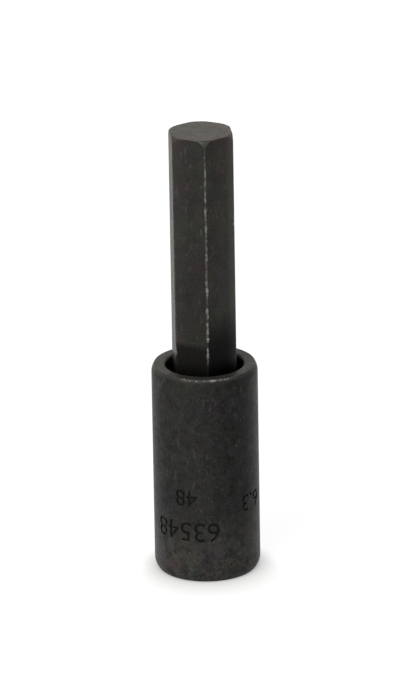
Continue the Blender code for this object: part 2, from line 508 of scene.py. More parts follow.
# %% Outside of the barrel
FOOT_FACE_RADIUS = barrel_radius - 0.45 * MM
RIM_FACE_RADIUS = barrel_radius - 0.28 * MM
EDGE_ROUND_RADIUS = 1.6 * MM
MOUTH_RADIUS = 4.066 * MM
MOUTH_EDGE_RADIUS = 0.3 * MM
ARC_STEPS = 8


def arc_rings(centre_radius, centre_height, radius, start, end):
    """Rings that follow an arc in the section of a turned piece."""
    rings = []
    for step in range(ARC_STEPS + 1):
        angle = start + (end - start) * step / ARC_STEPS
        height = centre_height + radius * math.sin(angle)
        rings.append((circle(centre_radius + radius * math.cos(angle)), level(height)))
    return rings


def outside_rings():
    """Foot, wall and rim, from the table up to the edge of the mouth."""
    centre = barrel_radius - EDGE_ROUND_RADIUS
    foot = math.acos((FOOT_FACE_RADIUS - centre) / EDGE_ROUND_RADIUS)
    rim = math.acos((RIM_FACE_RADIUS - centre) / EDGE_ROUND_RADIUS)
    foot_height = EDGE_ROUND_RADIUS * math.sin(foot)
    rim_height = barrel_top - EDGE_ROUND_RADIUS * math.sin(rim)
    mouth_centre = MOUTH_RADIUS + MOUTH_EDGE_RADIUS
    mouth_height = barrel_top - MOUTH_EDGE_RADIUS
    rings = arc_rings(centre, foot_height, EDGE_ROUND_RADIUS, -foot, 0)
    rings += arc_rings(centre, rim_height, EDGE_ROUND_RADIUS, 0, rim)
    rings += arc_rings(mouth_centre, mouth_height, MOUTH_EDGE_RADIUS, math.pi / 2, math.pi)
    return rings


print("outside of the barrel:", len(outside_rings()), "rings")

# %% Hex hole
MOUTH_DEPTH = 3.0 * MM
MOUTH_FLOOR_ANGLE = math.radians(30)
BROACH_CLEARANCE = 0.1 * MM
RING_GROOVE_RADIUS = 4.466 * MM
WEB_TOP = 11.0 * MM
WEB_FOOT = 8.6 * MM
KNOCKOUT_RADIUS = 2.25 * MM
broach_outline = rounded_polygon(HEX_SIDES, 2 * (hex_half + BROACH_CLEARANCE), HEX_EDGE_RADIUS, HEX_TURN)


def mouth_floor(radius):
    """Height of the conical floor of the mouth."""
    return barrel_top - MOUTH_DEPTH - (MOUTH_RADIUS - radius) * math.tan(MOUTH_FLOOR_ANGLE)


def hex_hole_rings():
    """Mouth, hex hole with its ring groove, web and knock-out hole."""
    return [
        (circle(MOUTH_RADIUS), level(barrel_top - MOUTH_DEPTH)),
        (broach_outline, mouth_floor),
        (broach_outline, level(NOTCH_HIGH)),
        (circle(RING_GROOVE_RADIUS), level(NOTCH_HIGH)),
        (circle(RING_GROOVE_RADIUS), level(NOTCH_LOW)),
        (broach_outline, level(NOTCH_LOW)),
        (broach_outline, level(WEB_TOP)),
        (circle(KNOCKOUT_RADIUS), level(WEB_TOP)),
        (circle(KNOCKOUT_RADIUS), level(WEB_FOOT)),
    ]


print("hex hole:", len(hex_hole_rings()), "rings")

# %% Square hole
SQUARE_SIDES = 4
SQUARE_TURN = math.pi / 4
DRIVE_HALF = 3.225 * MM
DRIVE_CORNER_RADIUS = 0.75 * MM
LEAD_IN_RADIUS = 4.025 * MM
DETENT_HEIGHT = 4.0 * MM
DETENT_HALF_WIDTH = 1.2 * MM
DETENT_DEPTH = 0.5 * MM
DETENT_STEPS = 10
drive_outline = rounded_polygon(SQUARE_SIDES, 2 * DRIVE_HALF, DRIVE_CORNER_RADIUS, SQUARE_TURN)


def around(outline, radius):
    """An outline opened out to a circle."""
    return lambda angle: max(outline(angle), radius)


def lead_in(radius):
    """Height of the cone that guides the drive in."""
    return max(0, LEAD_IN_RADIUS - radius)


def drive_rings():
    """Square hole with its detent groove and lead-in, down to the foot."""
    rings = [(drive_outline, level(WEB_FOOT))]
    bow = (DETENT_HALF_WIDTH**2 + DETENT_DEPTH**2) / (2 * DETENT_DEPTH)
    for step in range(DETENT_STEPS + 1):
        offset = DETENT_HALF_WIDTH * (1 - 2 * step / DETENT_STEPS)
        reach = DRIVE_HALF + DETENT_DEPTH - bow + math.sqrt(bow**2 - offset**2)
        rings.append((around(drive_outline, reach), level(DETENT_HEIGHT + offset)))
    rings.append((drive_outline, lead_in))
    rings.append((around(drive_outline, LEAD_IN_RADIUS), level(0)))
    rings.append((circle(FOOT_FACE_RADIUS), level(0)))
    return rings


print("square hole:", len(drive_rings()), "rings")

# %% Barrel
BARREL_STEPS = 240


def make_barrel():
    """The barrel, as one closed stack of rings."""
    angles = [math.tau * step / BARREL_STEPS for step in range(BARREL_STEPS)]
    shape = ring_stack(angles, outside_rings() + hex_hole_rings() + drive_rings())[0]
    return finish_piece("socket_barrel_body", shape, "barrel", "socket_barrel")


barrel = make_barrel()

# %% [markdown]
# ## Stamped numbers
#
# Sockets carry stamped figures, read with the drive end up, so here they stand on their heads: an order
# number made of the hex width and the length, the length by itself, and the size of the drive, all in
# millimetres. A bump map would be missing from the mesh, so the figures are cut. Each one is Blender text
# made a solid, sliced by planes so that it can bend, wrapped round the barrel and taken away with a
# Boolean.

# %% Figures as a solid
STAMP_DEPTH = 0.12 * MM


def text_solid(text, size):
    """A bmesh of some figures, twice as thick as the stamp is deep."""
    curve = bpy.data.curves.new("stamp", "FONT")
    curve.body = text
    curve.align_x = "CENTER"
    curve.align_y = "CENTER"
    curve.extrude = STAMP_DEPTH / size
    holder = bpy.data.objects.new("stamp", curve)
    scene.collection.objects.link(holder)
    depsgraph = bpy.context.evaluated_depsgraph_get()
    mesh = bpy.data.meshes.new_from_object(holder.evaluated_get(depsgraph))
    shape = bmesh.new()
    shape.from_mesh(mesh)
    bpy.data.objects.remove(holder)
    bpy.data.curves.remove(curve)
    bpy.data.meshes.remove(mesh)
    bmesh.ops.scale(shape, vec=(size, size, size), verts=shape.verts)
    bmesh.ops.remove_doubles(shape, verts=shape.verts, dist=MERGE_DISTANCE)
    return shape


print(f"figures {STAMP_DEPTH / MM:.2f} mm deep")

# %% Figures round the barrel
STAMP_SLICE = 0.3 * MM
FRONT = math.radians(-90)


def wrap_upside_down(shape, angle, height):
    """Slice a flat solid across, then bend it round the barrel with its top at the bottom."""
    reach = max(vert.co.x for vert in shape.verts)
    cuts = int(2 * reach / STAMP_SLICE)
    for cut in range(1, cuts):
        place = (-reach + 2 * reach * cut / cuts, 0, 0)
        everything = list(shape.verts) + list(shape.edges) + list(shape.faces)
        bmesh.ops.bisect_plane(shape, geom=everything, plane_co=place, plane_no=(1, 0, 0))
    for vert in shape.verts:
        turn = FRONT + angle - vert.co.x / barrel_radius
        radius = barrel_radius + vert.co.z
        vert.co = (radius * math.cos(turn), radius * math.sin(turn), height - vert.co.y)


print(f"figures bent in slices of {STAMP_SLICE / MM:.1f} mm")

# %% Figures cut into the barrel
STAMPS = [
    ("63548", 3.0 * MM, math.radians(-30), 5.8 * MM),
    ("48", 2.5 * MM, math.radians(-29), 9.5 * MM),
    ("6.3", 2.6 * MM, math.radians(50), 8.4 * MM),
]


def cut_stamp(piece, text, size, angle, height):
    """Cut figures of a size into a piece, at an angle from its front and at a height."""
    shape = text_solid(text, size)
    wrap_upside_down(shape, angle, height)
    mesh = bpy.data.meshes.new("stamp")
    shape.to_mesh(mesh)
    shape.free()
    cutter = bpy.data.objects.new("stamp", mesh)
    scene.collection.objects.link(cutter)
    cut = piece.modifiers.new("stamp", "BOOLEAN")
    cut.operation = "DIFFERENCE"
    cut.solver = "MANIFOLD"
    cut.object = cutter
    depsgraph = bpy.context.evaluated_depsgraph_get()
    stamped = bpy.data.meshes.new_from_object(piece.evaluated_get(depsgraph))
    piece.modifiers.clear()
    piece.data = stamped
    stamped.materials.clear()
    bpy.data.objects.remove(cutter)
    bpy.data.meshes.remove(mesh)
    print("stamped", text, "into", len(stamped.polygons), "faces")


for text, size, angle, height in STAMPS:
    cut_stamp(barrel, text, size, angle, height)
barrel.data.set_sharp_from_angle(angle=SHARP_ANGLE)

# %% [markdown]
# ## The retaining ring
#
# A C of spring wire sits in a groove of the hex hole and snaps into the corner notches of the bit. It shows
# only when the bit is pulled up, but it is a real piece, so it gets real ends. A bevelled curve would make
# the wire too, but its ends would stay flat. Here a small circle is spun round the axis, short of a full
# turn, and the two cut ends are closed and their edges rounded.

# %% Retaining ring
RING_GAP = math.radians(45)
RING_STEPS = 84
WIRE_STEPS = 20
WIRE_END_ROUND = 0.12 * MM
WIRE_END_STEPS = 3
ring_low, ring_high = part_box("retaining_ring")
wire_radius = (ring_high.z - ring_low.z) / 2
ring_height = (ring_high.z + ring_low.z) / 2
ring_radius = ring_high.y - wire_radius


def make_ring():
    """The open ring of round wire, its gap towards the right."""
    shape = bmesh.new()
    stand = Matrix.Translation((ring_radius, 0, ring_height)) @ Matrix.Rotation(math.pi / 2, 4, "X")
    start = Matrix.Rotation(RING_GAP / 2, 4, "Z")
    bmesh.ops.create_circle(shape, segments=WIRE_STEPS, radius=wire_radius, matrix=start @ stand)
    section = list(shape.verts) + list(shape.edges)
    bmesh.ops.spin(shape, geom=section, axis=(0, 0, 1), angle=math.tau - RING_GAP, steps=RING_STEPS)
    ends = [edge for edge in shape.edges if edge.is_boundary]
    bmesh.ops.holes_fill(shape, edges=ends, sides=0)
    bmesh.ops.bevel(
        shape,
        geom=ends,
        offset=WIRE_END_ROUND,
        segments=WIRE_END_STEPS,
        profile=0.5,
        affect="EDGES",
        material=-1,
    )
    return finish_piece("retaining_ring_wire", shape, "barrel", "retaining_ring")


ring = make_ring()

# %% [markdown]
# ## Finishes: helpers
#
# Painted image textures could carry every mark on the tool, but they need an unwrapped mesh and blur close
# up. So all three finishes are worked out from where a point lies. Object coordinates are turned into
# millimetres, and every size below can then be read off a ruler. A soft step is written as a direction, the
# place where it starts, the place where it ends and, where they aren't none and full, the two values there.

# %% Steps, noise and colours
MIX_SHARE, MIX_FIRST, MIX_SECOND, MIX_RESULT = 0, 6, 7, 2


def ramp(tree, value, low, high, start=0.0, end=1.0):
    """A soft step from start to end as a value goes from low to high."""
    sockets = {"Value": value, "From Min": low, "From Max": high, "To Min": start, "To Max": end}
    return add_node(tree, "ShaderNodeMapRange", sockets, interpolation_type="SMOOTHSTEP").outputs[0]


def noise(tree, vector, scale, detail, roughness=0.6):
    """The outputs of a noise texture."""
    sockets = {"Vector": vector, "Scale": scale, "Detail": detail, "Roughness": roughness}
    return add_node(tree, "ShaderNodeTexNoise", sockets).outputs


def mix_colour(tree, share, first, second, blend="MIX"):
    """A blend of two colours, at the places that the Mix node keeps for colours."""
    sockets = {MIX_SHARE: share, MIX_FIRST: first, MIX_SECOND: second}
    node = add_node(tree, "ShaderNodeMix", sockets, data_type="RGBA", blend_type=blend)
    return node.outputs[MIX_RESULT]


print("helpers", [helper.__name__ for helper in (ramp, noise, mix_colour)])

# %% Materials and places on them
def new_material(name):
    """An empty node material with a Principled BSDF."""
    material = bpy.data.materials.new(name)
    material.use_nodes = True
    tree = material.node_tree
    tree.nodes.clear()
    shader = add_node(tree, "ShaderNodeBsdfPrincipled", {})
    add_node(tree, "ShaderNodeOutputMaterial", {"Surface": shader.outputs[0]})
    return material, tree, shader


def locate(tree):
    """Where a point lies, in millimetres: its place, its X, Y and Z, and its distance from the axis."""
    place = add_node(tree, "ShaderNodeTexCoord", {}).outputs["Object"]
    vector = add_node(tree, "ShaderNodeVectorMath", {0: place, "Scale": 1 / MM}, operation="SCALE").outputs[0]
    flat = add_node(tree, "ShaderNodeVectorMath", {0: vector, 1: (1, 1, 0)}, operation="MULTIPLY").outputs[0]
    radius = add_node(tree, "ShaderNodeVectorMath", {0: flat}, operation="LENGTH").outputs["Value"]
    axes = add_node(tree, "ShaderNodeSeparateXYZ", {"Vector": vector}).outputs
    return {"place": vector, "radius": radius, "X": axes["X"], "Y": axes["Y"], "Z": axes["Z"]}


def zone(tree, at, *steps):
    """A mask that is full where every one of some soft steps is full."""
    masks = [ramp(tree, at[direction], *band) for direction, *band in steps]
    return chain(tree, "MULTIPLY", *masks)


print("helpers", [helper.__name__ for helper in (new_material, locate, zone)])

# %% [markdown]
# ## Shared effects
#
# A conversion coat grows on the steel in a bath, so it is never one even black. It has clouds a few tenths
# of a millimetre wide, a fine grain and a faint drift of hue, small pits, flecks and scuffs, and it rubs
# through on edges. The barrel and the bit both need these, with other values, so each effect is built once
# as a node group with its own inputs. Copying the nodes into each material would work too, but a change
# would then have to be made twice.

# %% Node groups
FLOAT = "NodeSocketFloat"
VECTOR = "NodeSocketVector"
COLOUR = "NodeSocketColor"


def new_group(name, inputs, outputs):
    """An empty node group with its two ends."""
    tree = bpy.data.node_groups.new(name, "ShaderNodeTree")
    for title, kind in inputs.items():
        tree.interface.new_socket(title, in_out="INPUT", socket_type=kind)
    for title, kind in outputs.items():
        tree.interface.new_socket(title, in_out="OUTPUT", socket_type=kind)
    return tree, tree.nodes.new("NodeGroupInput").outputs, tree.nodes.new("NodeGroupOutput").inputs


def use_group(tree, group, sockets):
    """A group placed in a material with its own values."""
    return add_node(tree, "ShaderNodeGroup", sockets, node_tree=group).outputs


print("helpers", [helper.__name__ for helper in (new_group, use_group)])

# %% Clouds and grain of the coat
GRAIN_TIMES = 5.0
DRIFT_TIMES = 0.35
CLOUD_BAND = (0.3, 0.7)


def clouds_group():
    """Clouds, a grain that is finer and a drift of hue that is wider than the clouds."""
    inputs = {"Vector": VECTOR, "Scale": FLOAT}
    tree, start, end = new_group("coat_clouds", inputs, {"Clouds": FLOAT, "Grain": FLOAT, "Hue": COLOUR})
    finer = maths(tree, "MULTIPLY", start["Scale"], GRAIN_TIMES)
    wider = maths(tree, "MULTIPLY", start["Scale"], DRIFT_TIMES)
    cloud = noise(tree, start["Vector"], start["Scale"], detail=4, roughness=0.55)
    grain = noise(tree, start["Vector"], finer, detail=3)
    drift = noise(tree, start["Vector"], wider, detail=2, roughness=0.5)
    tree.links.new(ramp(tree, cloud["Fac"], *CLOUD_BAND), end["Clouds"])
    tree.links.new(ramp(tree, grain["Fac"], *CLOUD_BAND), end["Grain"])
    tree.links.new(drift["Color"], end["Hue"])
    return tree


clouds = clouds_group()
print("group", clouds.name, len(clouds.nodes), "nodes")

# %% Flecks: pits and bright specks
WOBBLE = 0.25
WOBBLE_TIMES = 3.0
FLECK_CORE = 0.6


def flecks_group():
    """Small uneven spots in a share of the cells of a Voronoi pattern."""
    inputs = {"Vector": VECTOR, "Scale": FLOAT, "Size": FLOAT, "Share": FLOAT}
    tree, start, end = new_group("flecks", inputs, {"Flecks": FLOAT})
    finer = maths(tree, "MULTIPLY", start["Scale"], WOBBLE_TIMES)
    wobble = noise(tree, start["Vector"], finer, detail=2)["Fac"]
    pattern = {"Vector": start["Vector"], "Scale": start["Scale"]}
    cells = add_node(tree, "ShaderNodeTexVoronoi", pattern).outputs
    distance = maths(tree, "MULTIPLY_ADD", wobble, WOBBLE, cells["Distance"])
    edge = maths(tree, "ADD", start["Size"], WOBBLE / 2)
    spot = ramp(tree, distance, edge, maths(tree, "MULTIPLY", edge, FLECK_CORE))
    pick = add_node(tree, "ShaderNodeSeparateColor", {"Color": cells["Color"]}).outputs[0]
    chosen = maths(tree, "LESS_THAN", pick, start["Share"])
    tree.links.new(maths(tree, "MULTIPLY", spot, chosen), end["Flecks"])
    return tree


flecks = flecks_group()
print("group", flecks.name, len(flecks.nodes), "nodes")

# %% Scuffs
SCUFF_LEAN = 0.4
SCUFF_TILTS = (1.0, -0.8)
SCUFF_STRETCH = (1.0, 1.0, 0.3)
SCUFF_BAND = (0.62, 0.70)
SCUFF_PATCH_TIMES = 0.2
SCUFF_PATCH_BAND = (0.45, 0.6)


def scuffs_group():
    """Short thin marks in two directions, gathered in patches."""
    tree, start, end = new_group("scuffs", {"Vector": VECTOR, "Scale": FLOAT}, {"Scuffs": FLOAT})
    marks = []
    for tilt in SCUFF_TILTS:
        turn = {"Vector": start["Vector"], "Rotation": (SCUFF_LEAN, tilt, 0), "Scale": SCUFF_STRETCH}
        turned = add_node(tree, "ShaderNodeMapping", turn).outputs[0]
        streaks = noise(tree, turned, start["Scale"], detail=2, roughness=0.5)["Fac"]
        marks.append(ramp(tree, streaks, *SCUFF_BAND))
    wider = maths(tree, "MULTIPLY", start["Scale"], SCUFF_PATCH_TIMES)
    patches = noise(tree, start["Vector"], wider, detail=2)["Fac"]
    where = ramp(tree, patches, *SCUFF_PATCH_BAND)
    tree.links.new(maths(tree, "MULTIPLY", chain(tree, "MAXIMUM", *marks), where), end["Scuffs"])
    return tree


scuffs = scuffs_group()
print("group", scuffs.name, len(scuffs.nodes), "nodes")

# %% Rubbed edges
BREAK_TIMES = 0.2
BARE_BAND = (0.55, 0.95)


def rubbed_group():
    """Wear that starts at an edge and breaks up with noise."""
    inputs = {"Vector": VECTOR, "Edge": FLOAT, "Scale": FLOAT, "Breakup": FLOAT}
    tree, start, end = new_group("rubbed_edge", inputs, {"Bare": FLOAT})
    wider = maths(tree, "MULTIPLY", start["Scale"], BREAK_TIMES)
    grit = noise(tree, start["Vector"], start["Scale"], detail=4, roughness=0.65)["Fac"]
    breaks = noise(tree, start["Vector"], wider, detail=1)["Fac"]
    centred = maths(tree, "SUBTRACT", maths(tree, "ADD", grit, breaks), 1.0)
    worn = maths(tree, "MULTIPLY_ADD", centred, start["Breakup"], start["Edge"])
    tree.links.new(ramp(tree, worn, *BARE_BAND), end["Bare"])
    return tree


rubbed = rubbed_group()
print("group", rubbed.name, len(rubbed.nodes), "nodes")

# %% [markdown]
# ## The coat on the barrel and the bit
#
# The coat is matt and almost black, so most of what the eye sees is the pale room in it: faces seen square
# on stay dark, and faces seen at a glancing angle turn grey. A Fresnel mask could paint that in, but a
# plain Principled BSDF does it by itself when its specular level is low and its roughness middling. The
# colour is built up in layers: black clouds, pale coat and painted light, a drift of hue, light marks, dark
# pits and painted shade, and bare steel where the coat is rubbed through.

# %% Pattern and colour of the coat
CLOUD_SHARE = 0.4
GRAIN_SHARE = 0.6
HUE_SHARE = 0.25
SCUFF_SHARE = 0.5
SCUFF_SCALE = 3.0
PITS = {"Scale": 1.7, "Size": 0.2, "Share": 0.4}
SPECKS = {"Scale": 2.0, "Size": 0.17, "Share": 0.3}
# also the colour of the painted shade in the barrel's mouth and just above it on the bit
DARK_AND_SHADE_COLOUR = (0.003, 0.003, 0.0034, 1)
STEEL_COLOUR = (0.20, 0.195, 0.184, 1)


def spots(tree, at, values):
    """Flecks of one kind."""
    return use_group(tree, flecks, {"Vector": at["place"], **values})["Flecks"]


def coat_pattern(tree, at, look):
    """The clouds, the hue, the pits and the light marks of the coat."""
    cloud = use_group(tree, clouds, {"Vector": at["place"], "Scale": look["clouds"]})
    grain = maths(tree, "MULTIPLY", cloud["Grain"], GRAIN_SHARE)
    blend = maths(tree, "MULTIPLY_ADD", cloud["Clouds"], CLOUD_SHARE, grain)
    pits = maths(tree, "MULTIPLY", spots(tree, at, PITS), look["pits"])
    scuff = use_group(tree, scuffs, {"Vector": at["place"], "Scale": SCUFF_SCALE})["Scuffs"]
    light = maths(tree, "MAXIMUM", spots(tree, at, SPECKS), maths(tree, "MULTIPLY", scuff, SCUFF_SHARE))
    light = maths(tree, "MULTIPLY", light, look["marks"])
    return {"blend": blend, "hue": cloud["Hue"], "pits": pits, "light": light}


def coat_colour(tree, pattern, look, masks):
    """The layers of the coat, from the black clouds up to bare steel."""
    light = maths(tree, "MAXIMUM", pattern["light"], masks["worn"])
    dark = maths(tree, "MAXIMUM", pattern["pits"], masks["dark"])
    colour = mix_colour(tree, pattern["blend"], look["dark"], look["light"])
    # paler coat and painted light
    colour = mix_colour(tree, masks["pale_and_painted_light"], colour, look["pale_and_painted_light"])
    colour = mix_colour(tree, HUE_SHARE, colour, pattern["hue"], blend="OVERLAY")
    colour = mix_colour(tree, light, colour, look["scuff"])
    # dark marks and painted shade
    colour = mix_colour(tree, dark, colour, DARK_AND_SHADE_COLOUR)
    return mix_colour(tree, masks["bare"], colour, STEEL_COLOUR)


print("helpers", [helper.__name__ for helper in (spots, coat_pattern, coat_colour)])

# %% Coat shader
ROUGHNESS_SPREAD = 0.06
BARE_POLISH = 0.1
BUMP_DISTANCE = 0.02 * MM
COAT_BUMP = 0.6


def coat(tree, shader, at, look, masks):
    """The black coat, with masks of paler coat and painted light, of thin worn coat, of dark marks and
    painted shade, and of bare steel.
    """
    pattern = coat_pattern(tree, at, look)
    roughest = look["roughness"] + ROUGHNESS_SPREAD
    smoothest = look["roughness"] - ROUGHNESS_SPREAD
    matt = ramp(tree, pattern["blend"], 0.0, 1.0, roughest, smoothest)
    polish = maths(tree, "MULTIPLY", masks["bare"], BARE_POLISH)
    relief = maths(tree, "SUBTRACT", pattern["blend"], pattern["pits"])
    bump = {"Height": relief, "Distance": BUMP_DISTANCE, "Strength": COAT_BUMP}
    sources = {
        "Base Color": coat_colour(tree, pattern, look, masks),
        "Metallic": ramp(tree, masks["bare"], 0.0, 1.0, look["metal"], 1.0),
        "Roughness": maths(tree, "SUBTRACT", matt, polish),
        "Normal": add_node(tree, "ShaderNodeBump", bump).outputs[0],
    }
    for socket, source in sources.items():
        tree.links.new(source, shader.inputs[socket])
    shader.inputs["Specular IOR Level"].default_value = look["specular"]
    shader.inputs["Specular Tint"].default_value = look["tint"]


print("helper", coat.__name__)

# %% [markdown]
# ## Barrel finish
#
# The barrel is rubbed bright in small specks along the shoulder of its rim, most of all at the front. The
# flat of the rim is paler than the wall with painted light, more so towards the back, and a band of painted
# light lies left of the middle of the wall. The foot is mottled with light grains and dark dots. The figures
# are darker, and the inside of the mouth is darkened with painted shade. Texture painting would do for one
# picture, but a mask that knows where a point lies follows the shape exactly: how close it is to the circle
# of the shoulder, how high it is, or how far it lies under the wall.

# %% Rubbed rim
SHOULDER_RADIUS = 5.34
SHOULDER_HEIGHT = 22.52
SHOULDER_REACH = 0.3
RIM_FRONT = ("Y", -3.0, -4.4, 0.45, 0.76)
RIM_LEFT_END = ("X", -3.4, -2.4)
RIM_RIGHT_END = ("X", 3.6, 1.6)
RIM_RUB = {"Scale": 5.0, "Breakup": 1.6}
RIM_KNOCKS = {"Scale": 4.0, "Size": 0.3, "Share": 0.7}
RIM_KNOCK_BAND = (0.15, 0.6, 0.0, 0.8)


def rim_wear(tree, at):
    """Where the shoulder of the rim is worn thin, and where it is down to bare steel."""
    out = maths(tree, "SUBTRACT", at["radius"], SHOULDER_RADIUS)
    up = maths(tree, "SUBTRACT", at["Z"], SHOULDER_HEIGHT)
    squares = maths(tree, "ADD", maths(tree, "MULTIPLY", out, out), maths(tree, "MULTIPLY", up, up))
    near = ramp(tree, maths(tree, "SQRT", squares), SHOULDER_REACH, 0.0)
    thin = maths(tree, "MULTIPLY", near, zone(tree, at, RIM_FRONT, RIM_LEFT_END, RIM_RIGHT_END))
    bare = use_group(tree, rubbed, {"Vector": at["place"], "Edge": thin, **RIM_RUB})["Bare"]
    knocks = maths(tree, "MULTIPLY", spots(tree, at, RIM_KNOCKS), ramp(tree, thin, *RIM_KNOCK_BAND))
    return thin, maths(tree, "MAXIMUM", bare, knocks)


print(f"rim rubbed within {SHOULDER_REACH} mm of its shoulder")

# %% Dark figures and painted shade in the mouth
wall = barrel_radius / MM
FIGURE_EDGE = ("radius", wall - 0.02, wall - 0.07)
FIGURE_FLOOR = ("radius", wall - 0.3, wall - 0.2)
FIGURE_FOOT = ("Z", 3.0, 3.2)
FIGURE_TOP = ("Z", 12.0, 11.8)
# the inside of the mouth is painted with shade; the figures are only made darker
MOUTH_WALL = ("radius", 4.3, 4.1)
MOUTH_FOOT = ("Z", 9.0, 11.0)
HOLLOW_DARKNESS = 0.85


def figure_dark_and_mouth_shade(tree, at):
    """Darker just under the wall, where the figures are, and painted shade inside the mouth."""
    figures = zone(tree, at, FIGURE_EDGE, FIGURE_FLOOR, FIGURE_FOOT, FIGURE_TOP)
    # painted shade inside the mouth
    mouth = zone(tree, at, MOUTH_WALL, MOUTH_FOOT)
    return maths(tree, "MULTIPLY", maths(tree, "MAXIMUM", figures, mouth), HOLLOW_DARKNESS)


print(f"dirt from {wall - FIGURE_EDGE[1]:.2f} mm under the wall")

# %% Mottled foot, and painted light on the rim and the left of the wall
FOOT_FADE = ("Z", 10.0, 2.0)
FOOT_GRAINS = {"Scale": 1.5, "Size": 0.3, "Share": 0.45}
FOOT_DOTS = {"Scale": 1.9, "Size": 0.3, "Share": 0.5}
FOOT_DOTS_DEPTH = 0.75
FOOT_PALE = 0.8
PATCH_NOISE = {"scale": 0.9, "detail": 6, "roughness": 0.75}
PATCH_BAND = (0.36, 0.58)
# painted light: the flat of the rim is made paler, more so towards the back
LIT_RIM_HEIGHT = ("Z", 22.1, 22.5)
LIT_RIM_TO_FRONT = ("Y", 1.0, -4.5, 1.0, 0.65)
LIT_RIM_PATCHES = (0.75, 1.0)
# painted light: a band left of the middle of the wall is made paler
LIT_BAND_LEFT = ("X", -5.2, -3.0)
LIT_BAND_RIGHT = ("X", 1.4, -0.2, 0.0, 0.15)


def foot_marks(tree, at):
    """Light grains and dark dots, which gather towards the foot."""
    low = zone(tree, at, FOOT_FADE)
    grains = maths(tree, "MULTIPLY", low, spots(tree, at, FOOT_GRAINS))
    dots = chain(tree, "MULTIPLY", low, spots(tree, at, FOOT_DOTS), FOOT_DOTS_DEPTH)
    return grains, dots


def barrel_pale_and_painted_light(tree, at):
    """Paler coat in patches on the foot, and painted light on the flat of the rim and left of the middle of
    the wall.
    """
    patches = ramp(tree, noise(tree, at["place"], **PATCH_NOISE)["Fac"], *PATCH_BAND)
    foot = chain(tree, "MULTIPLY", zone(tree, at, FOOT_FADE), patches, FOOT_PALE)
    # painted light on the flat of the rim
    rim = zone(tree, at, LIT_RIM_HEIGHT, LIT_RIM_TO_FRONT)
    rim = maths(tree, "MULTIPLY", rim, ramp(tree, patches, 0.0, 1.0, *LIT_RIM_PATCHES))
    # painted light on a band left of the middle of the wall
    lit_band = zone(tree, at, LIT_BAND_LEFT, LIT_BAND_RIGHT)
    return chain(tree, "MAXIMUM", foot, rim, lit_band)


print(f"foot mottled below {FOOT_FADE[1]:.0f} mm, rim pale above {LIT_RIM_HEIGHT[1]} mm")

# %% Barrel finish
RIM_THIN = 0.65
BARREL_LOOK = {
    "dark": (0.0010, 0.0013, 0.0012, 1),
    "light": (0.0246, 0.0257, 0.0250, 1),
    "pale_and_painted_light": (0.0470, 0.0442, 0.0410, 1),
    "scuff": (0.0600, 0.0585, 0.0555, 1),
    "clouds": 1.1,
    "marks": 1.0,
    "pits": 1.0,
    "metal": 0.0,
    "specular": 0.09,
    "tint": (1.0, 1.0, 1.0, 1),
    "roughness": 0.44,
}


def barrel_finish():
    """Black coat with a rubbed rim, a mottled foot, dark figures, painted light on the rim and the wall, and
    painted shade in the mouth.
    """
    material, tree, shader = new_material("black_coat_barrel")
    at = locate(tree)
    thin, bare = rim_wear(tree, at)
    grains, dots = foot_marks(tree, at)
    masks = {
        "pale_and_painted_light": barrel_pale_and_painted_light(tree, at),
        "worn": maths(tree, "MAXIMUM", grains, maths(tree, "MULTIPLY", thin, RIM_THIN)),
        "dark": maths(tree, "MAXIMUM", figure_dark_and_mouth_shade(tree, at), dots),
        "bare": bare,
    }
    coat(tree, shader, at, BARREL_LOOK, masks)
    return material


barrel_coat = barrel_finish()
barrel.data.materials.append(barrel_coat)
print(barrel_coat.name, len(barrel_coat.node_tree.nodes), "nodes")

# %% [markdown]
# ## Bit finish
#
# The six long edges of the bit touch first, so they are rubbed to bare steel in a thin broken line. The line
# is thin at the tip, wider and lumpy further down, and it fades out towards the mouth, in the oil that creeps
# up from it and the painted shade there. The tip face, its facets and the outer margins of the front flats
# are made a little paler than the rest with painted light. An edge mask from the Bevel node would find the
# corners as well, but it is slow and works in Cycles only. The distance from the axis does it too: only the
# corners of a hexagon lie that far out.

# %% Worn corners
CORNER_BAND = (3.59, 3.635)
CORNER_RAGGED = {"scale": 2.6, "detail": 3, "amount": 0.14}
CORNER_LUMPS = {"scale": 0.8, "detail": 2, "amount": 0.12}
CORNER_WIDTH = ("Z", 47.0, 33.0, -0.014, 0.013)
CORNER_FRONT = ("Y", -1.5, -3.5, 0.4, 0.65)
CORNER_FOOT = ("Z", 27.5, 24.8, 0.0, 0.26)
CORNER_RUB = {"Scale": 4.0, "Breakup": 1.3}
# painted shade: the bare steel fades out towards the mouth, where the mouth shades the bit
CORNER_MOUTH_SHADE = ("Z", 23.3, 25.6)


def stray(tree, at, scale, detail, amount):
    """Noise that strays to both sides of zero."""
    centred = maths(tree, "SUBTRACT", noise(tree, at["place"], scale, detail)["Fac"], 0.5)
    return maths(tree, "MULTIPLY", centred, amount)


def corner_wear(tree, at):
    """Where the long edges are worn thin, and where they are down to bare steel, which fades out near the
    mouth as painted shade.
    """
    ragged = stray(tree, at, **CORNER_RAGGED)
    lumps = stray(tree, at, **CORNER_LUMPS)
    reach = chain(tree, "ADD", at["radius"], ragged, lumps, zone(tree, at, CORNER_WIDTH))
    rub = maths(tree, "ADD", zone(tree, at, CORNER_FRONT), zone(tree, at, CORNER_FOOT))
    thin = maths(tree, "MULTIPLY", ramp(tree, reach, *CORNER_BAND), rub)
    bare = use_group(tree, rubbed, {"Vector": at["place"], "Edge": thin, **CORNER_RUB})["Bare"]
    return thin, maths(tree, "MULTIPLY", bare, zone(tree, at, CORNER_MOUTH_SHADE))


print(f"corners worn from {CORNER_BAND[0]} mm off the axis outwards")

# %% Painted light on the tip and margins
tip = bit_top / MM
